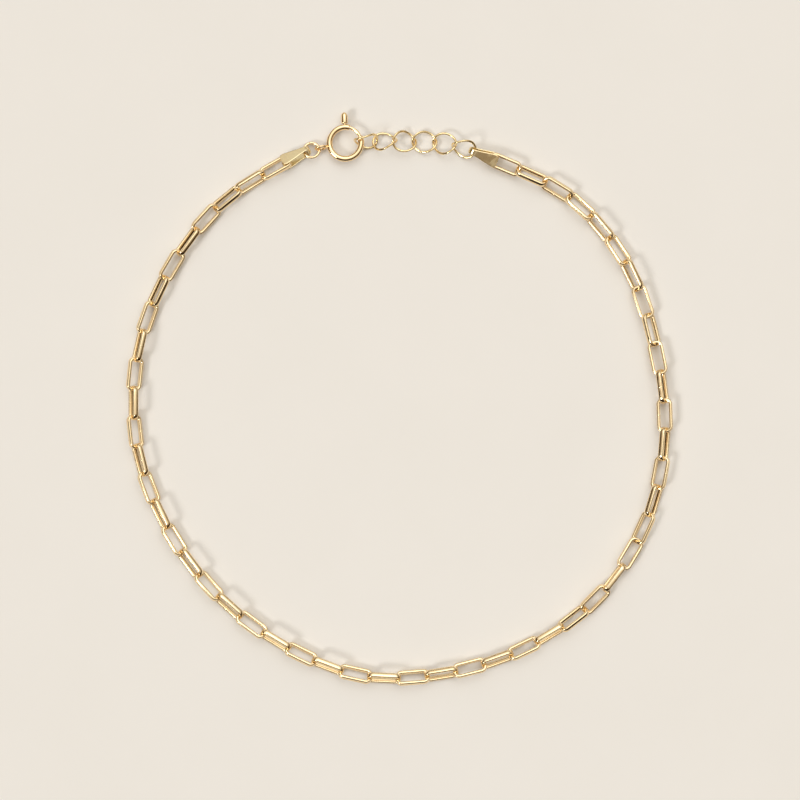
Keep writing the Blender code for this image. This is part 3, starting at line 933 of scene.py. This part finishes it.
def slot_shape():
    """Cutter for the knob's slot: a bar that follows the ring, with round ends just short of a point."""
    half = KNOB_NECK / 2 + KNOB_GAP
    margin = math.degrees(half / clasp_radius)
    start, end = KNOB_ANGLE - margin, KNOB_ANGLE + BOLT_OPENS + margin
    rows = []
    for angle in arc_stations(start, end, SLOT_STEP):
        to_end = min(angle - start, end - angle)
        rise = half * math.sqrt(max(SLOT_TIP, 1 - max(0.0, 1 - to_end / margin) ** 2))
        out = clasp_direction(angle)
        near, far, lift = clasp_radius * out, (clasp_radius + CLASP_TUBE) * out, Vector((0, 0, rise))
        rows.append([near + lift, far + lift, far - lift, near - lift])
    shape = bmesh.new()
    skin(shape, rows, closed=False)
    return shape


def add_eye(shape):
    """The oval wire eye and the solder that runs from the tube up to it."""
    line = oval_line(EYE_LENGTH - EYE_WIRE, EYE_WIDTH - EYE_WIRE, EYE_POINTS)
    rows = [round_row(place, out, UP, EYE_WIRE / 2, ROUND_SIDES) for place, out in line]
    skin(shape, placed(rows, eye_place()))
    out = clasp_direction(EYE_ANGLE)
    base = clasp_radius + CLASP_TUBE / 2
    rows = []
    for far, radius in softened(SOLDER_OUTLINE, SOLDER_ROUNDS):
        place = (base + far * MM) * out
        rows.append(round_row(place, UP.cross(out), UP, radius * MM, SOLDER_SIDES))
    skin(shape, rows, closed=False)


def make_clasp_body():
    tube = piece_object("clasp_tube", tube_shape())
    cutter = piece_object("slot_cutter", slot_shape())
    cut = tube.modifiers.new("slot", "BOOLEAN")
    cut.operation = "DIFFERENCE"
    cut.solver = "EXACT"
    cut.object = cutter
    bpy.context.view_layer.update()
    shown = tube.evaluated_get(bpy.context.evaluated_depsgraph_get())
    shape = bmesh.new()
    shape.from_mesh(shown.to_mesh())
    shown.to_mesh_clear()
    for helper in (tube, cutter):
        bpy.data.objects.remove(helper)
    add_eye(shape)
    bmesh.ops.transform(shape, matrix=places["clasp"], verts=shape.verts)
    return piece_object("fine_clasp_body", shape)


clasp_body = make_clasp_body()
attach(clasp_body, "anklet")
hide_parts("clasp_body")
print("faces of the clasp's body:", len(clasp_body.data.polygons))

# %% [markdown]
# The bolt and its knob move together, so they are one piece of their own on the body named bolt. The
# bolt's ends are rounded, and the knob is turned: a few points, softened, and spun round its axis.

# %% Clasp bolt
BOLT_SIDES = 24
BOLT_STEP = 2.5
TIP_POINTS = 6
KNOB_SIDES = 32
KNOB_UNDERSIDE = (0.0, 0.4)


def bolt_rows():
    tip = math.degrees(BOLT_WIRE / 2 / clasp_radius)
    caps = [math.pi / 2 * step / TIP_POINTS for step in range(1, TIP_POINTS)]
    stations = [(BOLT_TIP + tip * (1 - math.cos(turn)), math.sin(turn)) for turn in caps]
    stations += [(angle, 1.0) for angle in arc_stations(BOLT_TIP + tip, BOLT_TAIL - tip, BOLT_STEP)]
    stations += [(BOLT_TIP + BOLT_TAIL - angle, share) for angle, share in reversed(stations[:len(caps)])]
    rows = []
    for angle, share in stations:
        out = clasp_direction(angle)
        rows.append(round_row(clasp_radius * out, out, UP, share * BOLT_WIRE / 2, BOLT_SIDES))
    return rows


def knob_rows():
    out = clasp_direction(KNOB_ANGLE)
    head = softened([KNOB_UNDERSIDE, *KNOB_OUTLINE, CLOSED_END], OUTLINE_ROUNDS)
    turning = [(clasp_radius, KNOB_NECK / 2), (knob_foot, KNOB_NECK / 2)]
    turning += [(knob_foot + share * KNOB_TOP, wide * KNOB_HEAD / 2) for share, wide in head]
    return [round_row(out * far, UP.cross(out), UP, radius, KNOB_SIDES) for far, radius in turning]


def make_bolt():
    shape = bmesh.new()
    for rows in (bolt_rows(), knob_rows()):
        skin(shape, placed(rows, places["clasp"]), closed=False)
    return piece_object("fine_clasp_bolt", shape)


bolt = make_bolt()
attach(bolt, "bolt")
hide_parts("clasp_bolt")
print("faces of the bolt:", len(bolt.data.polygons))

# %% [markdown]
# ## Are the fine pieces where their solids are?
#
# A quick test prints how far each piece's box departs from the box of the solid that it stands for.


# %% Compare the boxes
def box_of(made):
    corners = np.array([corner.co for corner in made.data.vertices])
    return corners.min(axis=0), corners.max(axis=0)


fine = {"paperclip_chain": chain, "jump_ring": jump_ring, "clasp_body": clasp_body, "clasp_bolt": bolt}
fine.update({f"extender_link_{index}": link for index, link in enumerate(extender, 1)})
fine.update({"end_tab_left": tabs[0], "end_tab_right": tabs[1]})
for node, made in fine.items():
    off = np.abs(np.array(box_of(made)) - np.array(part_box(node))).max()
    print(f"{node}: {off / MM:.3f} mm off")

# %% [markdown]
# ## Finishes: three shared effects
#
# Gold plating is never one flat colour. Its tone drifts a little, handling leaves smudges that change its
# gloss, and polishing leaves fine hairlines. Each of these is a node group that every gold material uses
# with its own values. The groups put out colours and values only, and the shader stays in the material.


# %% Group helpers
def new_group(name, inputs, outputs):
    """A shader node group with named sockets; each input is a name, a kind and its usual value."""
    group = bpy.data.node_groups.new(name, "ShaderNodeTree")
    for title, kind, usual in inputs:
        socket = group.interface.new_socket(title, in_out="INPUT", socket_type=kind)
        socket.default_value = usual
    for title, kind in outputs:
        group.interface.new_socket(title, in_out="OUTPUT", socket_type=kind)
    return group, group.nodes.new("NodeGroupInput"), group.nodes.new("NodeGroupOutput")


def set_inputs(node, **values):
    """Sets a node's sockets by name, with underscores for spaces."""
    for title, value in values.items():
        node.inputs[title.replace("_", " ")].default_value = value


def join(tree, *pairs):
    """Links in a node tree. Each pair is a node and its output, then a node and its input."""
    for source, output, target, entry in pairs:
        tree.links.new(source.outputs[output], target.inputs[entry])


print("group helpers ready")

# %% [markdown]
# The tone group mixes two colours by a soft noise, in the piece's own space, so that the plating is a
# little redder here and paler there.


# %% Drifting tone
def tone_group():
    inputs = (
        ("Base", "NodeSocketColor", (0.8, 0.6, 0.3, 1)),
        ("Drift", "NodeSocketColor", (0.8, 0.5, 0.2, 1)),
        ("Scale", "NodeSocketFloat", 300.0),
        ("Amount", "NodeSocketFloat", 0.5),
    )
    group, enter, leave = new_group("drifting tone", inputs, (("Color", "NodeSocketColor"),))
    where = group.nodes.new("ShaderNodeTexCoord")
    cloud = group.nodes.new("ShaderNodeTexNoise")
    set_inputs(cloud, Detail=3.0, Roughness=0.6)
    spread = group.nodes.new("ShaderNodeMapRange")
    set_inputs(spread, From_Min=0.35, From_Max=0.7)
    part = group.nodes.new("ShaderNodeMath")
    part.operation = "MULTIPLY"
    mix = group.nodes.new("ShaderNodeMix")
    mix.data_type = "RGBA"
    join(
        group,
        (where, "Object", cloud, "Vector"),
        (enter, "Scale", cloud, "Scale"),
        (cloud, "Fac", spread, "Value"),
        (spread, "Result", part, 0),
        (enter, "Amount", part, 1),
        (part, "Value", mix, "Factor"),
        (enter, "Base", mix, "A"),
        (enter, "Drift", mix, "B"),
        (mix, "Result", leave, "Color"),
    )
    return group


drifting_tone = tone_group()
print("sockets of", drifting_tone.name, len(drifting_tone.interface.items_tree))

# %% [markdown]
# The smudge group gives a roughness between a clean and a dulled value. Its patches are distorted noise
# with sharp rims, like the print of a finger that rolled over the wire.


# %% Smudged gloss
def smudge_group():
    inputs = (
        ("Clean", "NodeSocketFloat", 0.1),
        ("Dulled", "NodeSocketFloat", 0.25),
        ("Scale", "NodeSocketFloat", 400.0),
    )
    group, enter, leave = new_group("smudged gloss", inputs, (("Roughness", "NodeSocketFloat"),))
    where = group.nodes.new("ShaderNodeTexCoord")
    cloud = group.nodes.new("ShaderNodeTexNoise")
    set_inputs(cloud, Detail=4.0, Roughness=0.55, Distortion=0.8)
    rim = group.nodes.new("ShaderNodeMapRange")
    rim.interpolation_type = "SMOOTHSTEP"
    set_inputs(rim, From_Min=0.45, From_Max=0.62)
    between = group.nodes.new("ShaderNodeMix")
    join(
        group,
        (where, "Object", cloud, "Vector"),
        (enter, "Scale", cloud, "Scale"),
        (cloud, "Fac", rim, "Value"),
        (rim, "Result", between, "Factor"),
        (enter, "Clean", between, "A"),
        (enter, "Dulled", between, "B"),
        (between, "Result", leave, "Roughness"),
    )
    return group


smudged_gloss = smudge_group()
print("sockets of", smudged_gloss.name, len(smudged_gloss.interface.items_tree))

# %% [markdown]
# The hairline group gives a height for a Bump node: fine polishing lines along the wire, from the map that
# the skin function laid, and a few stray scratches across them, from a cell pattern's edges.


# %% Polishing hairlines
def hairline_group():
    inputs = (
        ("Lines", "NodeSocketFloat", 60.0),
        ("Scratches", "NodeSocketFloat", 0.4),
    )
    group, enter, leave = new_group("polishing hairlines", inputs, (("Height", "NodeSocketFloat"),))
    where = group.nodes.new("ShaderNodeTexCoord")
    stretch = group.nodes.new("ShaderNodeMapping")
    set_inputs(stretch, Scale=(0.04, 1.0, 1.0))
    lines = group.nodes.new("ShaderNodeTexNoise")
    set_inputs(lines, Detail=2.0)
    cells = group.nodes.new("ShaderNodeTexVoronoi")
    cells.feature = "DISTANCE_TO_EDGE"
    set_inputs(cells, Scale=900.0, Randomness=1.0)
    thin = group.nodes.new("ShaderNodeMapRange")
    set_inputs(thin, From_Min=0.0, From_Max=0.03, To_Min=-1.0, To_Max=0.0)
    part = group.nodes.new("ShaderNodeMath")
    part.operation = "MULTIPLY"
    total = group.nodes.new("ShaderNodeMath")
    total.operation = "ADD"
    join(
        group,
        (where, "UV", stretch, "Vector"),
        (stretch, "Vector", lines, "Vector"),
        (enter, "Lines", lines, "Scale"),
        (where, "Object", cells, "Vector"),
        (cells, "Distance", thin, "Value"),
        (thin, "Result", part, 0),
        (enter, "Scratches", part, 1),
        (lines, "Fac", total, 0),
        (part, "Value", total, 1),
        (total, "Value", leave, "Height"),
    )
    return group


polishing_hairlines = hairline_group()
print("sockets of", polishing_hairlines.name, len(polishing_hairlines.interface.items_tree))

# %% [markdown]
# ## The gold finishes
#
# One function places the three groups round a Principled BSDF. Each finish is a row of a table: the chain
# is bright and pale, the tabs are a little deeper, and the clasp is the most polished.

# %% Gold materials
BUMP_HEIGHT = 0.0006 * MM


def gold(name, base, drift, amount, clean, dulled, scratches):
    material = bpy.data.materials.new(name)
    material.use_nodes = True
    nodes = material.node_tree.nodes
    shader = nodes["Principled BSDF"]
    set_inputs(shader, Metallic=1.0)
    tone, smudge, hairlines = (nodes.new("ShaderNodeGroup") for _ in range(3))
    tone.node_tree, smudge.node_tree, hairlines.node_tree = drifting_tone, smudged_gloss, polishing_hairlines
    set_inputs(tone, Base=(*base, 1), Drift=(*drift, 1), Amount=amount)
    set_inputs(smudge, Clean=clean, Dulled=dulled)
    set_inputs(hairlines, Scratches=scratches)
    bump = nodes.new("ShaderNodeBump")
    set_inputs(bump, Strength=0.6, Distance=BUMP_HEIGHT)
    join(
        material.node_tree,
        (tone, "Color", shader, "Base Color"),
        (smudge, "Roughness", shader, "Roughness"),
        (hairlines, "Height", bump, "Height"),
        (bump, "Normal", shader, "Normal"),
    )
    return material


GOLD_FINISHES = {
    # slot: base colour, drift colour, amount, clean roughness, dulled roughness, scratches
    "chain_gold": ((0.97, 0.79, 0.50), (0.92, 0.67, 0.37), 0.6, 0.16, 0.24, 0.4),
    "tab_gold": ((0.93, 0.80, 0.50), (0.87, 0.65, 0.34), 0.6, 0.20, 0.30, 0.6),
    "ring_gold": ((0.97, 0.79, 0.50), (0.92, 0.67, 0.37), 0.5, 0.19, 0.27, 0.3),
    "clasp_gold": ((0.97, 0.75, 0.44), (0.91, 0.63, 0.33), 0.5, 0.10, 0.17, 0.4),
    "extender_gold": ((0.96, 0.78, 0.45), (0.90, 0.65, 0.32), 0.6, 0.20, 0.28, 0.3),
}
finishes = {slot: gold(slot, *row) for slot, row in GOLD_FINISHES.items()}
for slot, dressed in (
    ("chain_gold", [chain]),
    ("tab_gold", tabs),
    ("ring_gold", [jump_ring]),
    ("clasp_gold", [clasp_body, bolt]),
    ("extender_gold", extender),
):
    for made in dressed:
        made.data.materials.append(finishes[slot])
print("finishes:", ", ".join(finishes))

# %% [markdown]
# ## The surface under the anklet
#
# A plain pale cream board, matt, with a faint mottle. It isn't part of the anklet. It lies
# a hair lower than the solids stand, because the fuller sections of the fine links reach down to it.

# %% Cream board
BOARD_SIDE = 2.0
BOARD_PALE = (0.85, 0.815, 0.765, 1)
BOARD_DEEP = (0.82, 0.785, 0.73, 1)
BOARD_DROP = 0.04 * MM


def board_material():
    material = bpy.data.materials.new("cream_board")
    material.use_nodes = True
    nodes = material.node_tree.nodes
    shader = nodes["Principled BSDF"]
    set_inputs(shader, Roughness=0.75)
    where = nodes.new("ShaderNodeTexCoord")
    cloud = nodes.new("ShaderNodeTexNoise")
    set_inputs(cloud, Scale=55.0, Detail=5.0, Roughness=0.6)
    mix = nodes.new("ShaderNodeMix")
    mix.data_type = "RGBA"
    set_inputs(mix, A=BOARD_PALE, B=BOARD_DEEP)
    join(
        material.node_tree,
        (where, "Object", cloud, "Vector"),
        (cloud, "Fac", mix, "Factor"),
        (mix, "Result", shader, "Base Color"),
    )
    return material


shape = bmesh.new()
bmesh.ops.create_grid(shape, x_segments=1, y_segments=1, size=BOARD_SIDE / 2)
board = piece_object("cream_board", shape)
board.location.z = -BOARD_DROP
board.data.materials.append(board_material())
print("board is", BOARD_SIDE, "m wide")

# %% [markdown]
# ## Light
#
# In the photo short soft shadows fall to the upper right, so the main light stands at the lower left,
# about 42 degrees up, and is wide. The rest is a bright room: polished gold shows what is round it, so the
# world is brightest near a pole overhead, which leans to the far side, and dark brown away from it. That
# is what draws a pale band down the middle of each wire and a dark line along its near edge. The cosine of
# the angle to the pole is a dot product, and a ramp turns it into brightness.

# %% Main light and room
SUN_AZIMUTH = 214.0
SUN_ELEVATION = 42.0
SUN_WIDTH = 17.0
SUN_POWER = 1.12
ROOM_POLE = Vector((0.08, 0.44, 0.89)).normalized()
ROOM_BANDS = (
    # cosine of the angle to the pole, brightness
    (0.00, (0.012, 0.008, 0.005)),
    (0.30, (0.05, 0.03, 0.015)),
    (0.50, (0.24, 0.18, 0.12)),
    (0.73, (0.82, 0.77, 0.69)),
    (0.88, (1.15, 1.13, 1.10)),
    (0.95, (2.20, 2.20, 2.15)),
)

sun_data = bpy.data.lights.new("main_light", "SUN")
sun_data.energy = SUN_POWER
sun_data.angle = math.radians(SUN_WIDTH)
sun = bpy.data.objects.new("main_light", sun_data)
azimuth, elevation = math.radians(SUN_AZIMUTH), math.radians(SUN_ELEVATION)
level = math.cos(elevation)
to_sun = Vector((math.cos(azimuth) * level, math.sin(azimuth) * level, math.sin(elevation)))
sun.rotation_euler = to_sun.to_track_quat("Z", "Y").to_euler()
bpy.context.collection.objects.link(sun)

world = bpy.data.worlds.new("bright_room")
world.use_nodes = True
bpy.context.scene.world = world
nodes = world.node_tree.nodes
where = nodes.new("ShaderNodeTexCoord")
closeness = nodes.new("ShaderNodeVectorMath")
closeness.operation = "DOT_PRODUCT"
closeness.inputs[1].default_value = ROOM_POLE
bands = nodes.new("ShaderNodeValToRGB")
bands.color_ramp.interpolation = "EASE"
for index, (cosine, colour) in enumerate(ROOM_BANDS):
    if index < 2:
        mark = bands.color_ramp.elements[index]
        mark.position = cosine
    else:
        mark = bands.color_ramp.elements.new(cosine)
    mark.color = (*colour, 1)
join(
    world.node_tree,
    (where, "Generated", closeness, 0),
    (closeness, "Value", bands, "Fac"),
    (bands, "Color", nodes["Background"], "Color"),
)
bpy.context.scene.view_settings.view_transform = "Standard"
print("main light from", SUN_AZIMUTH, "degrees,", SUN_ELEVATION, "up")
